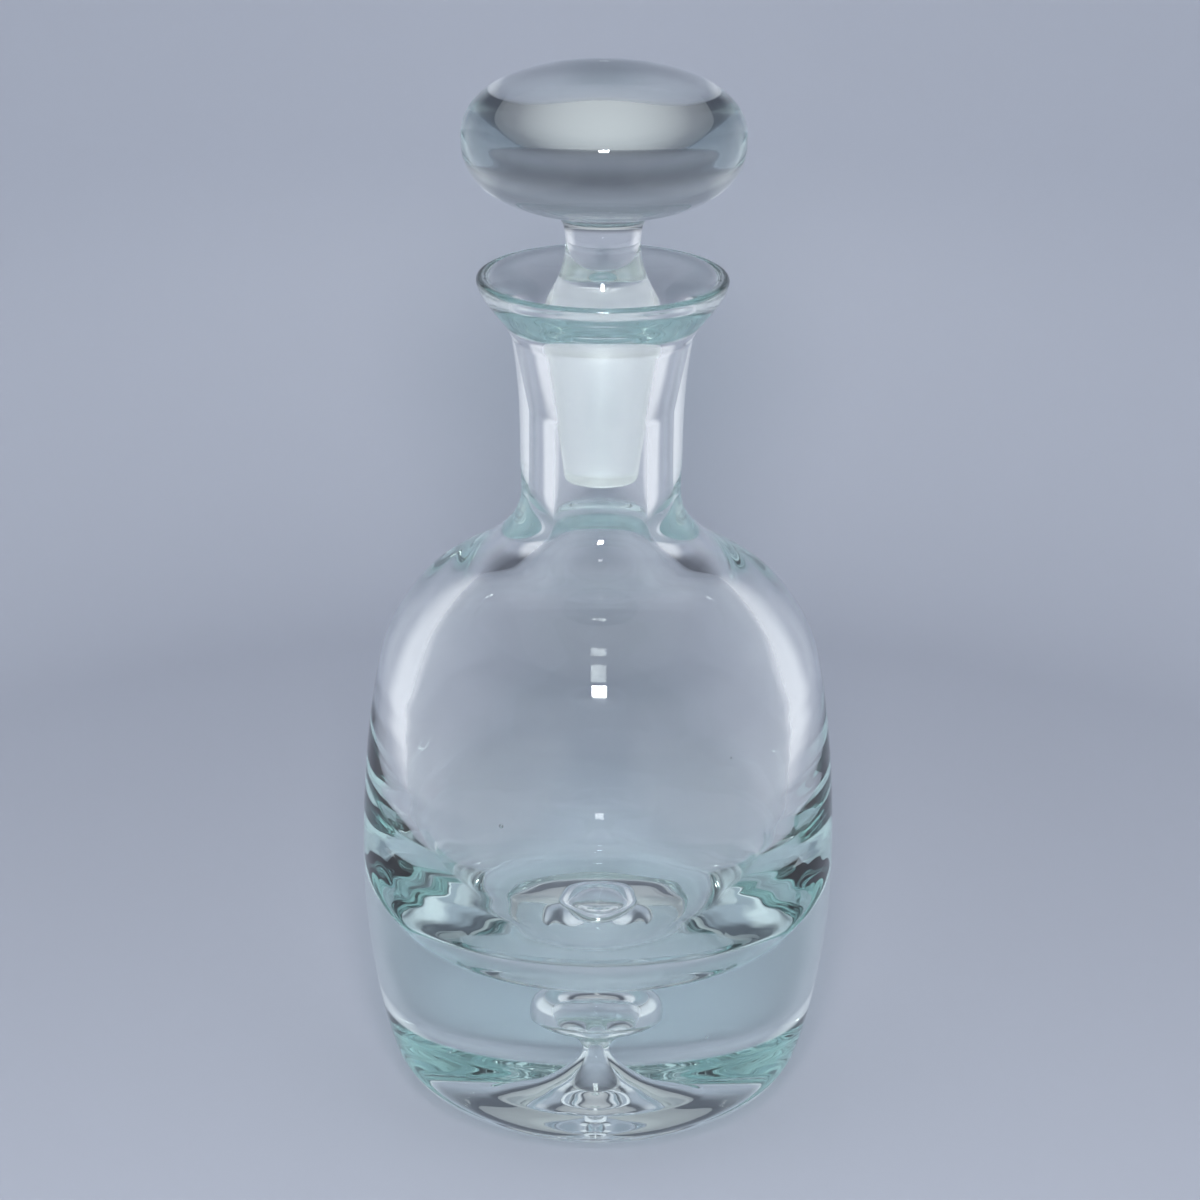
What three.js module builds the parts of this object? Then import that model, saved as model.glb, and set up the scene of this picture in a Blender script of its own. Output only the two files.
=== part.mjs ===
// A glass decanter: a blown bottle with a thick base round a drawn-up bubble of air, and a
// solid stopper with a flattened knob and a ground, tapered peg.
// Millimetres, +Z up. The origin is the middle of the underside, on the surface that the
// decanter stands on, and the Z axis is the axis that both pieces are turned about.

import * as THREE from 'three';

// A piece has this many flats around the axis. Along its outline, a curve has as many flats
// as keep it about within the flatness, and from one flat to the next it turns by about the
// sharpest turn, in degrees, or less.
const FLATS_AROUND = 48;
const FLATNESS = 0.15;
const SHARPEST_TURN = 32;

// The bottle's outside, from the ring that it stands on up to the lip
const FOOT_INNER_RADIUS = 35.2;
const FOOT_RADIUS = 41.0;
const FOOT_EDGE = knot(FOOT_RADIUS, 0, 26);
const HEEL = knot(52.8, 12.8, 75, 0.42);
const WIDEST = knot(59.0, 54.8, 89, 0.32);
const UPPER_SIDE = knot(54.7, 111.2, 100.6, 0.32);
const SHOULDER = knot(48.8, 126.4, 123.4, 0.39);
const NECK_FILLET = knot(31.2, 141.0, 149.3, 0.42);
const NECK_FOOT = knot(19.9, 153.5, 98, 0.26);
const NECK_TOP = knot(21.7, 195.9, 76, 0.18);
const LIP_ROOT = knot(NECK_TOP.x, NECK_TOP.y, 64);

// The fire-polished rim is a round bead, met at these slopes by the flared lip outside it
// and by the shallow bowl of the mouth inside it
const RIM_MIDDLE = new THREE.Vector2(28.9, 209.3);
const RIM_ROUND = 1.1;
const RIM_OUTER_SLOPE = 71;
const RIM_INNER_SLOPE = 227;
const LIP_PULL = 0.43;
const BOWL = knot(23.1, 205.9, 206, 0.28);
const MOUTH_HEIGHT = 195.3;
const MOUTH_SLOPE = 268;
const MOUTH_PULL = 0.47;

// The bottle's inside, from the bore down to the floor, which rises towards the middle
const BORE_RADIUS = 11.1;
const BORE_FOOT = knot(BORE_RADIUS, 159.6, 271);
const INNER_NECK_FOOT = knot(22.6, 135.6, 334.4, 0.44);
const INNER_SHOULDER = knot(41.5, 117.5, 297.3, 0.33);
const INNER_SIDE = knot(47.8, 80.0, 268, 0.3);
const FLOOR_RING = knot(27.0, 41.8, 178, 0.28);
const FLOOR_MIDDLE = knot(0, 44.6, 180, 0.4);

// The air in the base: a mushroom-shaped bubble with a sharp rim, a funnel down to a throat,
// and a trumpet that opens into the dished underside
const BUBBLE_TOP = knot(0, 35.8, 0);
const BUBBLE_SIDE = knot(10.3, 29.4, 274, 0.4);
const BUBBLE_RIM = knot(10.2, 26.4, 268);
const FUNNEL_TOP = knot(BUBBLE_RIM.x, BUBBLE_RIM.y, 236);
const THROAT = knot(2.1, 20.0, 270, 0.36);
const TRUMPET = knot(6.9, 12.3, 310, 0.34);
const TRUMPET_EDGE = knot(16.4, 6.4, 322);
const DISH_TOP = knot(TRUMPET_EDGE.x, TRUMPET_EDGE.y, 350);
const DISH_EDGE = knot(FOOT_INNER_RADIUS, 0, 330);

// The stopper's peg and the seat in the bore share one taper, in radius per height, and the
// seat is wider than the peg by the gap
const TAPER = 0.1305;
const TAPER_SLOPE = THREE.MathUtils.radToDeg(Math.atan2(1, TAPER));
const SEAT_GAP = 0.3;
const PEG_TIP_HEIGHT = 161.0;
const PEG_TOP_HEIGHT = 200.8;
const PEG_TIP = knot(7.5, PEG_TIP_HEIGHT, 0);
const PEG_EDGE = knot(8.9, 162.5, TAPER_SLOPE, 0.36);

// The waist over the peg, and the knob, whose outline is half a superellipse over its widest
// level and half a squarer one below. The waist's curve meets it at the root, and from there
// its steps, all of one angle, put a ring on its widest level and end on its top. Both angles
// are in degrees from the top.
const PEG_SHOULDER = knot(11.5, 208.0, 117.5);
const WAIST = knot(8.9, 218.0, 90);
const KNOB_RADIUS = 33.4;
const KNOB_MIDDLE_HEIGHT = 243.7;
const KNOB_UPPER = { height: 16.5, squareness: 2.27 };
const KNOB_LOWER = { height: 17.8, squareness: 2.48 };
const KNOB_STEP_ANGLE = 10;
const KNOB_ROOT_ANGLE = 160;
const KNOB_ROOT_PULL = 0.42;

// The glass, as colours with their roughness and opacity
const BOTTLE_GLASS = { color: 0xdcebe9, roughness: 0.03, opacity: 0.35 };
const STOPPER_GLASS = { color: 0xe2eeee, roughness: 0.06, opacity: 0.35 };

// A knot is a point that an outline passes through: its radius as x, its height as y, the
// slope that the outline has there in degrees (0 outwards, 90 up, 180 inwards, 270 down), and
// the pull of the curve that arrives there, as the share of the way from the knot before over
// which that curve is drawn along its two end slopes.
function knot(radius, height, slope, pull = 1 / 3) {
  return Object.assign(new THREE.Vector2(radius, height), { slope, pull });
}

// The unit vector along a slope given in degrees
function along(slope) {
  const angle = THREE.MathUtils.degToRad(slope);
  return new THREE.Vector2(Math.cos(angle), Math.sin(angle));
}

// How many steps a curve needs, for its length in millimetres and its whole turn in radians
function stepsFor(length, turn) {
  const byFlatness = Math.sqrt(length * turn / (8 * FLATNESS));
  const byTurn = turn / THREE.MathUtils.degToRad(SHARPEST_TURN);
  return Math.ceil(Math.max(byFlatness, byTurn));
}

// The smooth curve from one knot to the next, without its first point
function between(from, to) {
  const reach = from.distanceTo(to) * to.pull;
  const leaving = along(from.slope).multiplyScalar(reach).add(from);
  const arriving = along(to.slope).multiplyScalar(-reach).add(to);
  const curve = new THREE.CubicBezierCurve(from, leaving, arriving, to);
  const middle = arriving.clone().sub(leaving);
  const turn = along(from.slope).angleTo(middle) + middle.angleTo(along(to.slope));
  return curve.getPoints(stepsFor(curve.getLength(), turn)).slice(1);
}

// The smooth curve through a row of knots
function through(...knots) {
  return [knots[0], ...knots.slice(1).flatMap((to, i) => between(knots[i], to))];
}

// One outline out of stretches, where a stretch may start on the point that the last one
// ended on
function outline(...stretches) {
  return stretches.flat().filter((point, i, all) => i === 0 || !point.equals(all[i - 1]));
}

// The point of the rim's bead where the outline has a given slope
function rimKnot(slope, pull) {
  const point = along(slope - 90).multiplyScalar(RIM_ROUND).add(RIM_MIDDLE);
  return knot(point.x, point.y, slope, pull);
}

// The rim's bead, over the top from the lip to the bowl
function rimBead() {
  const sweep = RIM_INNER_SLOPE - RIM_OUTER_SLOPE;
  const steps = Math.ceil(sweep / SHARPEST_TURN);
  return Array.from({ length: steps + 1 }, (_, i) => rimKnot(RIM_OUTER_SLOPE + sweep * i / steps));
}

function pegRadius(height) {
  return PEG_EDGE.x + TAPER * (height - PEG_EDGE.y);
}

function seatRadius(height) {
  return pegRadius(height) + SEAT_GAP;
}

// Where the tapered seat has narrowed to the plain bore
function seatFootHeight() {
  return PEG_EDGE.y + (BORE_RADIUS - seatRadius(PEG_EDGE.y)) / TAPER;
}

function bottleOutline() {
  const lip = rimKnot(RIM_OUTER_SLOPE, LIP_PULL);
  const bowlTop = rimKnot(RIM_INNER_SLOPE);
  const mouth = knot(seatRadius(MOUTH_HEIGHT), MOUTH_HEIGHT, MOUTH_SLOPE, MOUTH_PULL);
  const seatFoot = new THREE.Vector2(BORE_RADIUS, seatFootHeight());
  return outline(
    through(BUBBLE_TOP, BUBBLE_SIDE, BUBBLE_RIM),
    through(FUNNEL_TOP, THROAT, TRUMPET, TRUMPET_EDGE),
    through(DISH_TOP, DISH_EDGE),
    through(FOOT_EDGE, HEEL, WIDEST, UPPER_SIDE, SHOULDER, NECK_FILLET, NECK_FOOT, NECK_TOP),
    through(LIP_ROOT, lip),
    rimBead(),
    through(bowlTop, BOWL, mouth),
    seatFoot,
    through(BORE_FOOT, INNER_NECK_FOOT, INNER_SHOULDER, INNER_SIDE, FLOOR_RING, FLOOR_MIDDLE),
  );
}

// The knob's outline at an angle from its top
function knobPoint(degrees) {
  const angle = THREE.MathUtils.degToRad(degrees);
  const half = degrees < 90 ? KNOB_UPPER : KNOB_LOWER;
  const power = 2 / half.squareness;
  const out = Math.sin(angle) ** power;
  const up = Math.sign(Math.cos(angle)) * Math.abs(Math.cos(angle)) ** power;
  return new THREE.Vector2(KNOB_RADIUS * out, KNOB_MIDDLE_HEIGHT + half.height * up);
}

// The knot where the waist's curve meets the knob
function knobRoot() {
  const point = knobPoint(KNOB_ROOT_ANGLE);
  const chord = knobPoint(KNOB_ROOT_ANGLE - 1).sub(knobPoint(KNOB_ROOT_ANGLE + 1));
  return knot(point.x, point.y, THREE.MathUtils.radToDeg(chord.angle()), KNOB_ROOT_PULL);
}

// The knob's outline, from its root up and over to its top on the axis
function knob() {
  const steps = KNOB_ROOT_ANGLE / KNOB_STEP_ANGLE;
  return Array.from({ length: steps }, (_, i) => knobPoint(KNOB_STEP_ANGLE * (steps - 1 - i)));
}

function stopperOutline() {
  const pegTop = knot(pegRadius(PEG_TOP_HEIGHT), PEG_TOP_HEIGHT, TAPER_SLOPE);
  return outline(
    new THREE.Vector2(0, PEG_TIP_HEIGHT),
    through(PEG_TIP, PEG_EDGE),
    through(pegTop, PEG_SHOULDER, WAIST, knobRoot()),
    knob(),
  );
}

// A solid turned about the Z axis. The outline runs from the axis back to the axis, with the
// glass on its left.
function turned(name, points, glass) {
  const geometry = new THREE.LatheGeometry(points, FLATS_AROUND);
  geometry.rotateX(Math.PI / 2);
  const material = new THREE.MeshStandardMaterial({ ...glass, metalness: 0, transparent: true });
  const mesh = new THREE.Mesh(geometry, material);
  mesh.name = name;
  return mesh;
}

const decanter = new THREE.Group();
decanter.add(turned('bottle', bottleOutline(), BOTTLE_GLASS));
decanter.add(turned('stopper', stopperOutline(), STOPPER_GLASS));

export default decanter;
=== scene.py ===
"""A glass decanter and its stopper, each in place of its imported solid.

Metres, +Z up, in the solids' own frame. Both pieces are turned about the Z axis, so each one's
outline is read from its solid, smoothed and turned again at a fine pitch.
"""

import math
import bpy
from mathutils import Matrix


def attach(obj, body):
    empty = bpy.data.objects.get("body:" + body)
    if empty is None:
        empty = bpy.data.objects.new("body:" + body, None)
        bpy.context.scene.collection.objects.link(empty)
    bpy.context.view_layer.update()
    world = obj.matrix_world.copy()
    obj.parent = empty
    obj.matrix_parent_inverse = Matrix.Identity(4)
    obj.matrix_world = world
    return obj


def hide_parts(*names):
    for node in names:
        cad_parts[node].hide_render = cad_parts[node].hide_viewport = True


bl_info = {
    "name": "Glass Decanter",
    "version": (1, 0, 0),
    "blender": (4, 5, 0),
    "location": "3D View > Sidebar > Decanter",
    "description": "Makes a blown glass decanter, its ground glass stopper and a studio stage",
    "category": "Add Mesh",
}

import bmesh
import bpy
import numpy as np
from bpy.props import FloatProperty, FloatVectorProperty, IntProperty, PointerProperty
from bpy.types import Operator, Panel, PropertyGroup
from mathutils import Matrix, Vector

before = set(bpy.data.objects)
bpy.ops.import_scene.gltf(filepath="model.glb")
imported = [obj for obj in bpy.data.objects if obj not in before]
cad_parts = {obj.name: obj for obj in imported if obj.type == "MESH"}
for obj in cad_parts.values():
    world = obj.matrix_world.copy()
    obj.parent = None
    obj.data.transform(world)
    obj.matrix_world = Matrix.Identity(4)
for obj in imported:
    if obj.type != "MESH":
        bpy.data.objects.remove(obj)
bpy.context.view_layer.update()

MM = 0.001

# Heights at which the real outlines have an edge or meet a straight stretch
FOOT_LEVEL = 0.0
BUBBLE_RIM = 26.4 * MM
TRUMPET_EDGE = 6.4 * MM
NECK_CREASE = 195.9 * MM
MOUTH_EDGE = 195.3 * MM
SEAT_FOOT = 177.06 * MM
BORE_FOOT = 159.6 * MM
BOTTLE_EDGES = (
    BUBBLE_RIM,
    TRUMPET_EDGE,
    FOOT_LEVEL,
    NECK_CREASE,
    MOUTH_EDGE,
    SEAT_FOOT,
    BORE_FOOT,
)
PEG_TIP = 161.0 * MM
PEG_EDGE = 162.5 * MM
PEG_TOP = 200.8 * MM
STOPPER_EDGES = (PEG_TIP, PEG_EDGE, PEG_TOP)
SAME_PLACE = 0.02 * MM

# The stretch of the inner wall that is wavy, and its ripples: how many there are around, how far
# each leans up the wall in radians per metre, and its share of the whole wave
WAVY_FOOT = 50.0 * MM
WAVY_FROM = 62.0 * MM
WAVY_TO = 108.0 * MM
WAVY_TOP = 124.0 * MM
WALL_RIPPLES = (
    (3, 21.0, 0.34),
    (5, -34.0, 0.24),
    (9, 60.0, 0.12),
    (2, 760.0, 0.08),
    (1, -1040.0, 0.07),
    (4, 510.0, 0.07),
)

# Tiny bubbles left in the glass: the middle of each and its radius
SEEDS = (
    ((-22.0 * MM, -48.0 * MM, 90.0 * MM), 0.50 * MM),
    ((24.0 * MM, -36.0 * MM, 31.0 * MM), 0.35 * MM),
    ((-31.0 * MM, -27.0 * MM, 22.0 * MM), 0.30 * MM),
    ((38.0 * MM, 34.0 * MM, 75.0 * MM), 0.40 * MM),
)

# How strongly the glass bends light, and what the lamps' white light is after passing through it
GLASS_IOR = 1.52
LAMPLIGHT_THROUGH = (0.68, 0.72, 0.72)

# The heights between which the peg turns from clear to ground matt, at its foot and at its top
GROUND_FOOT = (161.2 * MM, 161.6 * MM)
GROUND_TOP = (202.6 * MM, 202.1 * MM)

# The marks that grinding left there: waves per metre across and up, the noise's detail and the
# values that it mostly keeps between, and how much the marks add or take away
MARK_STRETCH = (60.0, 60.0, 900.0)
MARK_DETAIL = 3.0
MARK_NOISE = (0.3, 0.7)
MARK_DEPTH = 0.05

# The sheet's faces around and up its bend, and how rough its paper is
SWEEP_AROUND = 96
SWEEP_BEND_STEPS = 16
PAPER_ROUGHNESS = 0.6

# How far to the left and right the sheet turns from its floor colour to its side colour, how much
# further that is for each metre towards the back, and how high up it turns to its wall colour. The
# lighter side colour is a painted pool of light, and the dark wall colour is painted shade.
SIDE_LIGHT_FROM_TO = (170.0 * MM, 250.0 * MM)
SIDE_LIGHT_SPREAD = 0.2
WALL_SHADE_FROM_TO = (240.0 * MM, 400.0 * MM)

# The room's light from level, or below it, to overhead: the sine of the height, and the colour
SKY = (
    (0.0, (0.10, 0.11, 0.13)),
    (0.42, (0.10, 0.11, 0.13)),
    (0.75, (0.24, 0.25, 0.29)),
    (1.0, (0.60, 0.62, 0.66)),
)

# The lamps: the place of each, its width, its watts and the kinds of ray that don't see it. The
# glint lamp gives clear glass its highlights, and the gloss lamp does so for ground glass.
LAMP_AIM = (0.0, 0.0, 100.0 * MM)
LAMPS = (
    ("glint_lamp", (0.0, -0.42, 0.43), 0.06, 1.2, ("camera",)),
    ("key_lamp", (0.0, -1.05, 0.64), 0.26, 9.5, ("camera", "glossy", "transmission")),
    ("fill_lamp", (0.0, 0.1, 1.3), 1.2, 2.5, ("camera", "glossy", "transmission")),
    ("gloss_lamp", (0.0, -1.05, 0.64), 0.06, 3.6, ("camera", "diffuse", "transmission")),
)

# Enough bounces for light to leave glass that it crosses several times
BOUNCES = 32
GLOSSY_BOUNCES = 16

# The width of the camera's sensor in millimetres, and the nearest that it sees
SENSOR_WIDTH = 36
NEAREST_SEEN = 10.0 * MM


class GlassSettings(PropertyGroup):
    """How the glass is blown, tinted and ground."""

    around: IntProperty(
        name="Steps around",
        description="Faces around each piece",
        default=192,
        min=48,
    )
    step: FloatProperty(
        name="Outline step",
        description="Longest step along an outline",
        default=1.0 * MM,
        min=0.1 * MM,
        subtype="DISTANCE",
        unit="LENGTH",
    )
    turn: FloatProperty(
        name="Outline turn",
        description="Sharpest turn from one step of an outline to the next",
        default=math.radians(5),
        subtype="ANGLE",
        unit="ROTATION",
    )
    wave: FloatProperty(
        name="Wall waves",
        description="How far the blown inner wall strays from a true round",
        default=0.16 * MM,
        min=0,
        subtype="DISTANCE",
        unit="LENGTH",
    )
    tint: FloatVectorProperty(
        name="Tint",
        description="What white light turns into on its way through thick glass",
        default=(0.75, 0.93, 0.90),
        subtype="COLOR",
        min=0,
        max=1,
    )
    tint_depth: FloatProperty(
        name="Tint density",
        description="How fast the tint builds up, per metre of glass",
        default=5.5,
        min=0,
    )
    ground_roughness: FloatProperty(
        name="Ground roughness",
        description="Roughness of the peg's ground cone",
        default=0.25,
        min=0,
        max=1,
        subtype="FACTOR",
    )
    ground_white: FloatProperty(
        name="Ground whiteness",
        description="Share of the light that the ground glass scatters back as white",
        default=0.14,
        min=0,
        max=1,
        subtype="FACTOR",
    )


class StageSettings(PropertyGroup):
    """The floor, the light and the camera."""

    floor_colour: FloatVectorProperty(
        name="Floor colour",
        description="Colour of the sheet that the decanter stands on",
        default=(0.38, 0.41, 0.48),
        subtype="COLOR",
        min=0,
        max=1,
    )
    # Painted shade: the sheet turns dark up its wall, as if the light fell away there, so the
    # glass has dark edges to show.
    painted_wall_shade_colour: FloatVectorProperty(
        name="Wall colour",
        description="Colour of the sheet where it has turned up into a wall",
        default=(0.10, 0.11, 0.14),
        subtype="COLOR",
        min=0,
        max=1,
    )
    # Painted light: the sheet turns light well to the left and right, a painted pool of light, so
    # the glass has bright sides to show.
    painted_side_light_colour: FloatVectorProperty(
        name="Side colour",
        description="Colour of the sheet well to the left and right of the decanter",
        default=(0.77, 0.79, 0.83),
        subtype="COLOR",
        min=0,
        max=1,
    )
    sweep_radius: FloatProperty(
        name="Sheet radius",
        description="How far the sheet's wall is from the decanter's axis",
        default=440 * MM,
        subtype="DISTANCE",
        unit="LENGTH",
    )
    sweep_bend: FloatProperty(
        name="Sheet bend",
        description="Radius of the bend where the sheet turns up",
        default=140 * MM,
        subtype="DISTANCE",
        unit="LENGTH",
    )
    sweep_height: FloatProperty(
        name="Sheet height",
        description="Height of the sheet's wall",
        default=560 * MM,
        subtype="DISTANCE",
        unit="LENGTH",
    )
    camera_distance: FloatProperty(
        name="Camera distance",
        description="How far the camera is from the decanter's axis",
        default=731.8 * MM,
        subtype="DISTANCE",
        unit="LENGTH",
    )
    camera_height: FloatProperty(
        name="Camera height",
        description="How far the camera is above the floor",
        default=411.6 * MM,
        subtype="DISTANCE",
        unit="LENGTH",
    )
    camera_pitch: FloatProperty(
        name="Camera pitch",
        description="How far the camera looks down from level",
        default=math.radians(21.174),
        subtype="ANGLE",
        unit="ROTATION",
    )
    camera_roll: FloatProperty(
        name="Camera roll",
        description="How far the camera leans about its own line of sight",
        default=math.radians(0.5),
        subtype="ANGLE",
        unit="ROTATION",
    )
    lens: FloatProperty(
        name="Lens",
        description="Focal length on a 36 mm sensor, in millimetres",
        default=96.0,
    )


def outline_of(node):
    """A turned node's outline, as an array of (radius, height).

    It runs from its lowest point on the axis to its highest. Its points and edges are those of
    the solid that lie in the half plane at -Y.
    """
    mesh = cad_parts[node].data
    places = np.array([v.co for v in mesh.vertices])
    radii = np.hypot(places[:, 0], places[:, 1])
    on_plane = (np.abs(places[:, 0]) < SAME_PLACE) & (places[:, 1] < SAME_PLACE)
    keys = {}
    for i in np.flatnonzero(on_plane):
        key = (round(radii[i] / SAME_PLACE), round(places[i, 2] / SAME_PLACE))
        keys[int(i)] = key
    point = {key: (radii[i], places[i, 2]) for i, key in keys.items()}
    beside = {key: set() for key in point}
    for face in mesh.polygons:
        corners = [keys[i] for i in face.vertices if i in keys]
        for a in corners:
            beside[a].update(b for b in corners if b != a)
    ends = sorted((k for k in point if k[0] == 0), key=lambda k: point[k][1])
    return follow(ends[0], beside, point)


def follow(start, beside, point):
    """The points from start to the other end of a chain, as an array."""
    path = [start]
    while True:
        onward = [k for k in beside[path[-1]] if k not in path]
        if not onward:
            return np.array([point[k] for k in path])
        path.append(onward[0])


def spline(points, from_axis, to_axis, step, turn):
    """A smooth curve through the points, cut where it has gone a step or a turn.

    It leaves and meets the axis level, so that the glass has no point there.
    """
    gaps = np.hypot(*np.diff(points, axis=0).T)
    at = np.concatenate(([0.0], np.cumsum(gaps)))
    count = len(points)
    # Each row ties a point's slope to its neighbours', so that the bend runs on through it
    system = np.zeros((count, count))
    want = np.zeros((count, 2))
    for i in range(1, count - 1):
        before, after = gaps[i - 1], gaps[i]
        system[i, i - 1 : i + 2] = after, 2 * (before + after), before
        rise = (points[i + 1] - points[i]) / after * before
        want[i] = 3 * (rise + (points[i] - points[i - 1]) / before * after)
    for end, beyond, level in ((0, 1, from_axis), (count - 1, count - 2, to_axis)):
        chord = (points[beyond] - points[end]) / (at[beyond] - at[end])
        if level:
            system[end, end] = 1
            want[end] = math.copysign(1, chord[0]), 0
        else:
            system[end, end], system[end, beyond] = 2, 1
            want[end] = 3 * chord
    slopes = np.linalg.solve(system, want)
    fine = [points[0]]
    for i, gap in enumerate(gaps):
        bend = angle_between(slopes[i], points[i + 1] - points[i])
        bend += angle_between(points[i + 1] - points[i], slopes[i + 1])
        pieces = max(1, math.ceil(gap / step), math.ceil(bend / turn))
        for t in np.arange(1, pieces + 1) / pieces:
            fine.append(hermite(points[i], points[i + 1], slopes[i] * gap, slopes[i + 1] * gap, t))
    return fine


def hermite(a, b, leaving, arriving, t):
    """The point at share t of the cubic from a to b."""
    return (
        (2 * t**3 - 3 * t**2 + 1) * a
        + (t**3 - 2 * t**2 + t) * leaving
        + (3 * t**2 - 2 * t**3) * b
        + (t**3 - t**2) * arriving
    )


def angle_between(a, b):
    """The angle between two directions of the outline's plane."""
    cross = a[0] * b[1] - a[1] * b[0]
    return abs(math.atan2(cross, float(np.dot(a, b))))


def smooth_outline(points, edges, step, turn):
    """The outline as smooth curves between its edges, no wider than it was."""
    is_edge = [any(abs(p[1] - e) < SAME_PLACE * 2 for e in edges) for p in points]
    stops = [0] + [i for i in range(1, len(points) - 1) if is_edge[i]] + [len(points) - 1]
    fine = [points[0]]
    for a, b in zip(stops, stops[1:]):
        if b - a == 1:
            pieces = math.ceil(np.hypot(*(points[b] - points[a])) / step)
            share = np.arange(1, pieces + 1)[:, None] / pieces
            fine.extend(points[a] + (points[b] - points[a]) * share)
        else:
            fine.extend(spline(points[a : b + 1], a == 0, b == len(points) - 1, step, turn)[1:])
    fine = np.array(fine)
    fine[:, 0] = np.minimum(fine[:, 0], points[:, 0].max())
    return fine


def wall_ripples(outline, reach):
    """How far the inside of the body strays from a true round.

    The answer takes the angles around and a point's place in the outline.
    """
    rim = int(np.argmax(outline[:, 1]))

    def stray(angles, index):
        height = outline[index, 1]
        if index < rim:
            return np.zeros(len(angles))
        share = np.interp(height, (WAVY_FOOT, WAVY_FROM, WAVY_TO, WAVY_TOP), (0, 1, 1, 0))
        ripples = sum(
            part * np.sin(count * angles + lean * height + count)
            for count, lean, part in WALL_RIPPLES
        )
        return reach * share * share * (3 - 2 * share) * ripples

    return stray


def turned_mesh(name, outline, around, stray=None):
    """A closed mesh turned about the Z axis, each ring as far off its circle as stray says."""
    angles = np.arange(around) * 2 * math.pi / around
    across = np.stack([np.cos(angles), np.sin(angles)], axis=1)
    places = [(0.0, 0.0, outline[0][1])]
    for index, (radius, height) in enumerate(outline[1:-1], start=1):
        ring = radius + (stray(angles, index) if stray else np.zeros(around))
        level = np.full((around, 1), height)
        places.extend(np.hstack([across * ring[:, None], level]))
    places.append((0.0, 0.0, outline[-1][1]))
    rings = len(outline) - 2
    last = len(places) - 1
    faces = [(0, 1 + (k + 1) % around, 1 + k) for k in range(around)]
    for ring in range(rings - 1):
        low, high = 1 + ring * around, 1 + (ring + 1) * around
        for k in range(around):
            after = (k + 1) % around
            faces.append((low + k, low + after, high + after, high + k))
    top = 1 + (rings - 1) * around
    faces.extend((top + k, top + (k + 1) % around, last) for k in range(around))
    mesh = bpy.data.meshes.new(name)
    mesh.from_pydata([tuple(p) for p in places], [], faces)
    mesh.update()
    mesh.shade_smooth()
    return mesh


def blow_seeds(mesh):
    """Adds the tiny bubbles as round hollows in the glass."""
    work = bmesh.new()
    work.from_mesh(mesh)
    for middle, radius in SEEDS:
        made = bmesh.ops.create_icosphere(
            work, subdivisions=3, radius=radius, matrix=Matrix.Translation(middle)
        )
        faces = {face for vertex in made["verts"] for face in vertex.link_faces}
        bmesh.ops.reverse_faces(work, faces=list(faces))
        for face in faces:
            face.smooth = True
    work.to_mesh(mesh)
    work.free()


def add_piece(name, mesh, material, node):
    """Puts a piece in the scene in place of its solid."""
    mesh.materials.append(material)
    piece = bpy.data.objects.new(name, mesh)
    bpy.context.scene.collection.objects.link(piece)
    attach(piece, node)
    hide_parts(node)


def clear_glass(name, settings):
    """Clear glass with its tint inside."""
    material = bpy.data.materials.new(name)
    material.use_nodes = True
    nodes, links = material.node_tree.nodes, material.node_tree.links
    surface = nodes["Principled BSDF"]
    surface.inputs["IOR"].default_value = GLASS_IOR
    surface.inputs["Base Color"].default_value = (1, 1, 1, 1)
    surface.inputs["Roughness"].default_value = 0.0
    surface.inputs["Transmission Weight"].default_value = 1.0
    inside = nodes.new("ShaderNodeVolumeAbsorption")
    inside.inputs["Color"].default_value = (*settings.tint, 1)
    inside.inputs["Density"].default_value = settings.tint_depth
    output = nodes["Material Output"]
    links.new(inside.outputs[0], output.inputs["Volume"])
    links.new(clear_to_lamps(nodes, links, surface.outputs[0]), output.inputs["Surface"])
    return material


def clear_to_lamps(nodes, links, surface):
    """Lets the lamps shine through the glass instead of leaving a black shadow."""
    through = nodes.new("ShaderNodeBsdfTransparent")
    through.inputs["Color"].default_value = (*LAMPLIGHT_THROUGH, 1)
    is_shadow = nodes.new("ShaderNodeLightPath").outputs["Is Shadow Ray"]
    return blend_surfaces(nodes, links, is_shadow, surface, through.outputs[0])


def grind(material, settings):
    """Makes the ground stretch of clear glass matt and a little white."""
    nodes, links = material.node_tree.nodes, material.node_tree.links
    surface = nodes["Principled BSDF"].inputs
    place = nodes.new("ShaderNodeTexCoord").outputs["Object"]
    ground = ground_mask(nodes, links, place)
    marks = grinding_marks(nodes, links, place)
    rough = calculate(nodes, links, "MULTIPLY", ground, marks)
    matt = map_range(nodes, links, rough, (0, 1), (0, settings.ground_roughness), clamp=False)
    clear = map_range(nodes, links, rough, (0, 1), (1, 1 - settings.ground_white), clamp=False)
    links.new(matt, surface["Roughness"])
    links.new(clear, surface["Transmission Weight"])


def ground_mask(nodes, links, place):
    """1 on the ground stretch, 0 elsewhere."""
    height = axes_of(nodes, links, place)["Z"]
    foot = map_range(nodes, links, height, GROUND_FOOT, (0, 1))
    top = map_range(nodes, links, height, GROUND_TOP, (0, 1))
    return calculate(nodes, links, "MULTIPLY", foot, top)


def grinding_marks(nodes, links, place):
    """About 1, a little more or less in fine rings round the cone and in soft patches."""
    stretch = nodes.new("ShaderNodeMapping")
    stretch.inputs["Scale"].default_value = MARK_STRETCH
    links.new(place, stretch.inputs["Vector"])
    noise = nodes.new("ShaderNodeTexNoise")
    noise.inputs["Scale"].default_value = 1.0
    noise.inputs["Detail"].default_value = MARK_DETAIL
    links.new(stretch.outputs[0], noise.inputs["Vector"])
    depth = (1 - MARK_DEPTH, 1 + MARK_DEPTH)
    return map_range(nodes, links, noise.outputs["Fac"], MARK_NOISE, depth)


def axes_of(nodes, links, place):
    """The X, Y and Z of a place, by name."""
    node = nodes.new("ShaderNodeSeparateXYZ")
    links.new(place, node.inputs[0])
    return node.outputs


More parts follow.
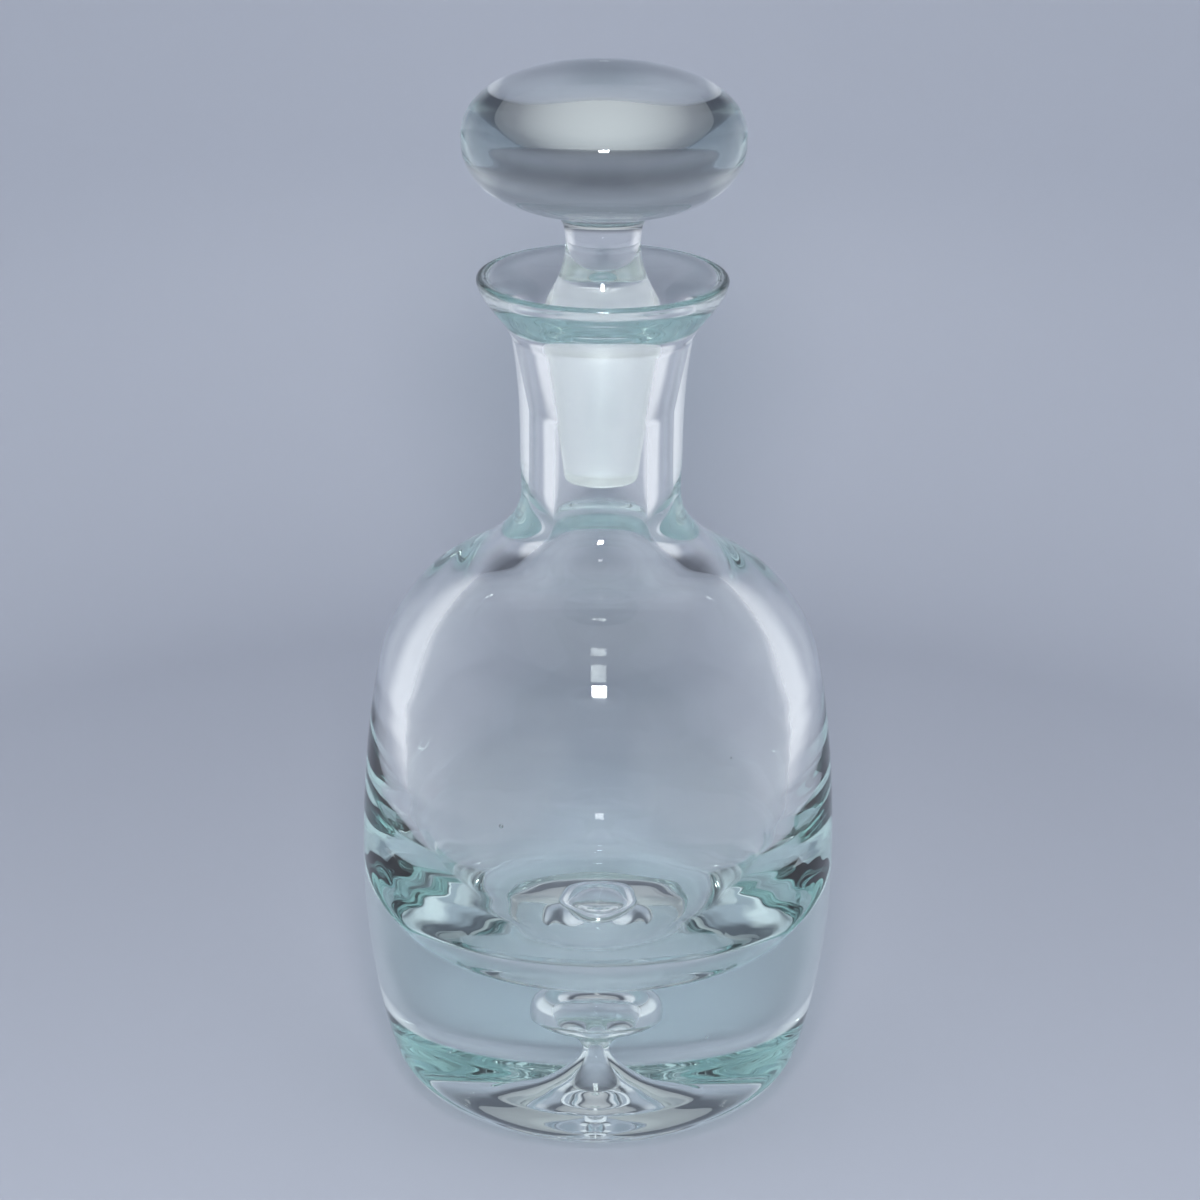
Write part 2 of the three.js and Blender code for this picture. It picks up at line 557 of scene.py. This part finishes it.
def map_range(nodes, links, value, start, end, clamp=True):
    """The value, mapped so that the pair of numbers start becomes the pair end."""
    node = nodes.new("ShaderNodeMapRange")
    node.clamp = clamp
    for name, number in zip(("From Min", "From Max", "To Min", "To Max"), (*start, *end)):
        node.inputs[name].default_value = number
    links.new(value, node.inputs["Value"])
    return node.outputs[0]


def calculate(nodes, links, operation, *values):
    """The answer of a sum whose values are numbers or the outputs of other nodes."""
    node = nodes.new("ShaderNodeMath")
    node.operation = operation
    for socket, value in zip(node.inputs, values):
        if isinstance(value, bpy.types.NodeSocket):
            links.new(value, socket)
        else:
            socket.default_value = value
    return node.outputs[0]


def blend_colours(nodes, links, share, off, on):
    """The colour off at share 0 and the colour on at share 1."""
    node = nodes.new("ShaderNodeMix")
    node.data_type = "RGBA"
    for socket, colour in ((node.inputs["A"], off), (node.inputs["B"], on)):
        if isinstance(colour, bpy.types.NodeSocket):
            links.new(colour, socket)
        else:
            socket.default_value = (*colour, 1)
    links.new(share, node.inputs["Factor"])
    return node.outputs["Result"]


def blend_surfaces(nodes, links, share, off, on):
    """The surface off at share 0 and the surface on at share 1."""
    node = nodes.new("ShaderNodeMixShader")
    for socket, source in zip(node.inputs, (share, off, on)):
        links.new(source, socket)
    return node.outputs[0]


class DECANTER_OT_bottle(Operator):
    """Blow the bottle, with its thick base, air bubble and the stopper's seat"""

    bl_idname = "decanter.bottle"
    bl_label = "Bottle"

    def execute(self, context):
        settings = context.scene.decanter_glass
        outline = smooth_outline(
            outline_of("bottle"), BOTTLE_EDGES, settings.step, settings.turn
        )
        ripples = wall_ripples(outline, settings.wave)
        mesh = turned_mesh("bottle_glass_body", outline, settings.around, ripples)
        blow_seeds(mesh)
        material = clear_glass("blown_glass", settings)
        add_piece("bottle_glass_body", mesh, material, "bottle")
        return {"FINISHED"}


class DECANTER_OT_stopper(Operator):
    """Make the solid stopper, with its knob, waist and ground peg"""

    bl_idname = "decanter.stopper"
    bl_label = "Stopper"

    def execute(self, context):
        settings = context.scene.decanter_glass
        outline = smooth_outline(
            outline_of("stopper"), STOPPER_EDGES, settings.step, settings.turn
        )
        mesh = turned_mesh("stopper_glass_body", outline, settings.around)
        material = clear_glass("solid_glass", settings)
        grind(material, settings)
        add_piece("stopper_glass_body", mesh, material, "stopper")
        return {"FINISHED"}


class DECANTER_OT_stage(Operator):
    """Set up the floor, the light and the camera"""

    bl_idname = "decanter.stage"
    bl_label = "Stage"

    def execute(self, context):
        settings = context.scene.decanter_stage
        add_sweep(settings)
        add_sky(context.scene)
        add_lamps()
        add_camera(context.scene, settings)
        context.scene.view_settings.view_transform = "Standard"
        context.scene.cycles.max_bounces = BOUNCES
        context.scene.cycles.transmission_bounces = BOUNCES
        context.scene.cycles.glossy_bounces = GLOSSY_BOUNCES
        return {"FINISHED"}


def add_sweep(settings):
    """A round sheet, flat in the middle and curved up into a low wall all round.

    The wall shows only from inside, so it never stands between a camera and the decanter, and
    it lets the lamps shine in.
    """
    bend, reach = settings.sweep_bend, settings.sweep_radius
    outline = [(0.0, 0.0), ((reach - bend) / 2, 0.0)]
    for k in range(SWEEP_BEND_STEPS + 1):
        angle = math.pi / 2 * k / SWEEP_BEND_STEPS
        outline.append((reach - bend + bend * math.sin(angle), bend - bend * math.cos(angle)))
    outline.append((reach, settings.sweep_height))
    steps = SWEEP_AROUND
    places = [(0.0, 0.0, 0.0)]
    for radius, height in outline[1:]:
        for k in range(steps):
            angle = 2 * math.pi * k / steps
            places.append((radius * math.cos(angle), radius * math.sin(angle), height))
    faces = [(0, 1 + k, 1 + (k + 1) % steps) for k in range(steps)]
    for ring in range(len(outline) - 2):
        low, high = 1 + ring * steps, 1 + (ring + 1) * steps
        for k in range(steps):
            after = (k + 1) % steps
            faces.append((low + k, high + k, high + after, low + after))
    mesh = bpy.data.meshes.new("sweep")
    mesh.from_pydata(places, [], faces)
    mesh.shade_smooth()
    sweep = bpy.data.objects.new("sweep", mesh)
    bpy.context.scene.collection.objects.link(sweep)
    mesh.materials.append(sweep_paper(settings))


def sweep_paper(settings):
    """Paper in the floor's colour, turning to the side colour, which is painted light, and higher
    up to the wall colour, which is painted shade.

    It is clear to the lamps, and from behind.
    """
    material = bpy.data.materials.new("sweep_paper")
    material.use_nodes = True
    nodes, links = material.node_tree.nodes, material.node_tree.links
    surface = nodes["Principled BSDF"]
    surface.inputs["Roughness"].default_value = PAPER_ROUGHNESS
    axes = axes_of(nodes, links, nodes.new("ShaderNodeTexCoord").outputs["Object"])
    aside = calculate(nodes, links, "ABSOLUTE", axes["X"])
    fanned = calculate(nodes, links, "MULTIPLY_ADD", axes["Y"], -SIDE_LIGHT_SPREAD, aside)
    to_side_light = map_range(nodes, links, fanned, SIDE_LIGHT_FROM_TO, (0, 1))
    to_wall_shade = map_range(nodes, links, axes["Z"], WALL_SHADE_FROM_TO, (0, 1))
    # Painted light to the left and right of the decanter, and painted shade higher up the wall.
    low = blend_colours(nodes, links, to_side_light, settings.floor_colour, settings.painted_side_light_colour)
    colour = blend_colours(nodes, links, to_wall_shade, low, settings.painted_wall_shade_colour)
    links.new(colour, surface.inputs["Base Color"])
    is_shadow = nodes.new("ShaderNodeLightPath").outputs["Is Shadow Ray"]
    is_behind = nodes.new("ShaderNodeNewGeometry").outputs["Backfacing"]
    is_clear = calculate(nodes, links, "MAXIMUM", is_shadow, is_behind)
    nothing = nodes.new("ShaderNodeBsdfTransparent").outputs[0]
    paper = blend_surfaces(nodes, links, is_clear, surface.outputs[0], nothing)
    links.new(paper, nodes["Material Output"].inputs["Surface"])
    return material


def add_sky(scene):
    """The room's soft light, dim low down and light overhead."""
    world = bpy.data.worlds.new("studio")
    scene.world = world
    world.use_nodes = True
    nodes, links = world.node_tree.nodes, world.node_tree.links
    axes = axes_of(nodes, links, nodes.new("ShaderNodeTexCoord").outputs["Generated"])
    colours = nodes.new("ShaderNodeValToRGB")
    links.new(axes["Z"], colours.inputs[0])
    band = colours.color_ramp.elements
    for element, (height, colour) in zip(band, (SKY[0], SKY[-1])):
        element.position = height
        element.color = (*colour, 1)
    for height, colour in SKY[1:-1]:
        band.new(height).color = (*colour, 1)
    links.new(colours.outputs[0], nodes["Background"].inputs[0])
    nodes["Background"].inputs[1].default_value = 1.0


def add_lamps():
    """The square lamps, all turned to the decanter's middle."""
    for name, place, width, watts, unseen_by in LAMPS:
        light = bpy.data.lights.new(name, "AREA")
        light.energy = watts
        light.size = width
        lamp = bpy.data.objects.new(name, light)
        bpy.context.scene.collection.objects.link(lamp)
        lamp.location = place
        sight = Vector(LAMP_AIM) - Vector(place)
        lamp.rotation_euler = sight.to_track_quat("-Z", "Y").to_euler()
        for rays in unseen_by:
            setattr(lamp, "visible_" + rays, False)


def add_camera(scene, settings):
    """The camera, in front of the decanter and looking down on it."""
    camera = bpy.data.cameras.new("camera")
    camera.sensor_width = SENSOR_WIDTH
    camera.lens = settings.lens
    camera.clip_start = NEAREST_SEEN
    camera_object = bpy.data.objects.new("camera", camera)
    scene.collection.objects.link(camera_object)
    camera_object.location = (0, -settings.camera_distance, settings.camera_height)
    camera_object.rotation_euler = (math.pi / 2 - settings.camera_pitch, 0, 0)
    camera_object.rotation_euler.rotate_axis("Z", settings.camera_roll)
    scene.camera = camera_object


class DECANTER_PT_panel(Panel):
    """Lists the decanter's pieces, its stage and their settings"""

    bl_label = "Decanter"
    bl_idname = "DECANTER_PT_panel"
    bl_space_type = "VIEW_3D"
    bl_region_type = "UI"
    bl_category = "Decanter"

    def draw(self, context):
        layout = self.layout
        for operator in (DECANTER_OT_bottle, DECANTER_OT_stopper, DECANTER_OT_stage):
            layout.operator(operator.bl_idname)
        for settings in (context.scene.decanter_glass, context.scene.decanter_stage):
            box = layout.box()
            for name in type(settings).__annotations__:
                box.prop(settings, name)


CLASSES = (
    GlassSettings,
    StageSettings,
    DECANTER_OT_bottle,
    DECANTER_OT_stopper,
    DECANTER_OT_stage,
    DECANTER_PT_panel,
)


def register():
    for cls in CLASSES:
        bpy.utils.register_class(cls)
    bpy.types.Scene.decanter_glass = PointerProperty(type=GlassSettings)
    bpy.types.Scene.decanter_stage = PointerProperty(type=StageSettings)


def unregister():
    del bpy.types.Scene.decanter_stage
    del bpy.types.Scene.decanter_glass
    for cls in reversed(CLASSES):
        bpy.utils.unregister_class(cls)


def main():
    register()
    bpy.ops.decanter.stage()
    bpy.ops.decanter.bottle()
    bpy.ops.decanter.stopper()


if __name__ == "__main__":
    main()
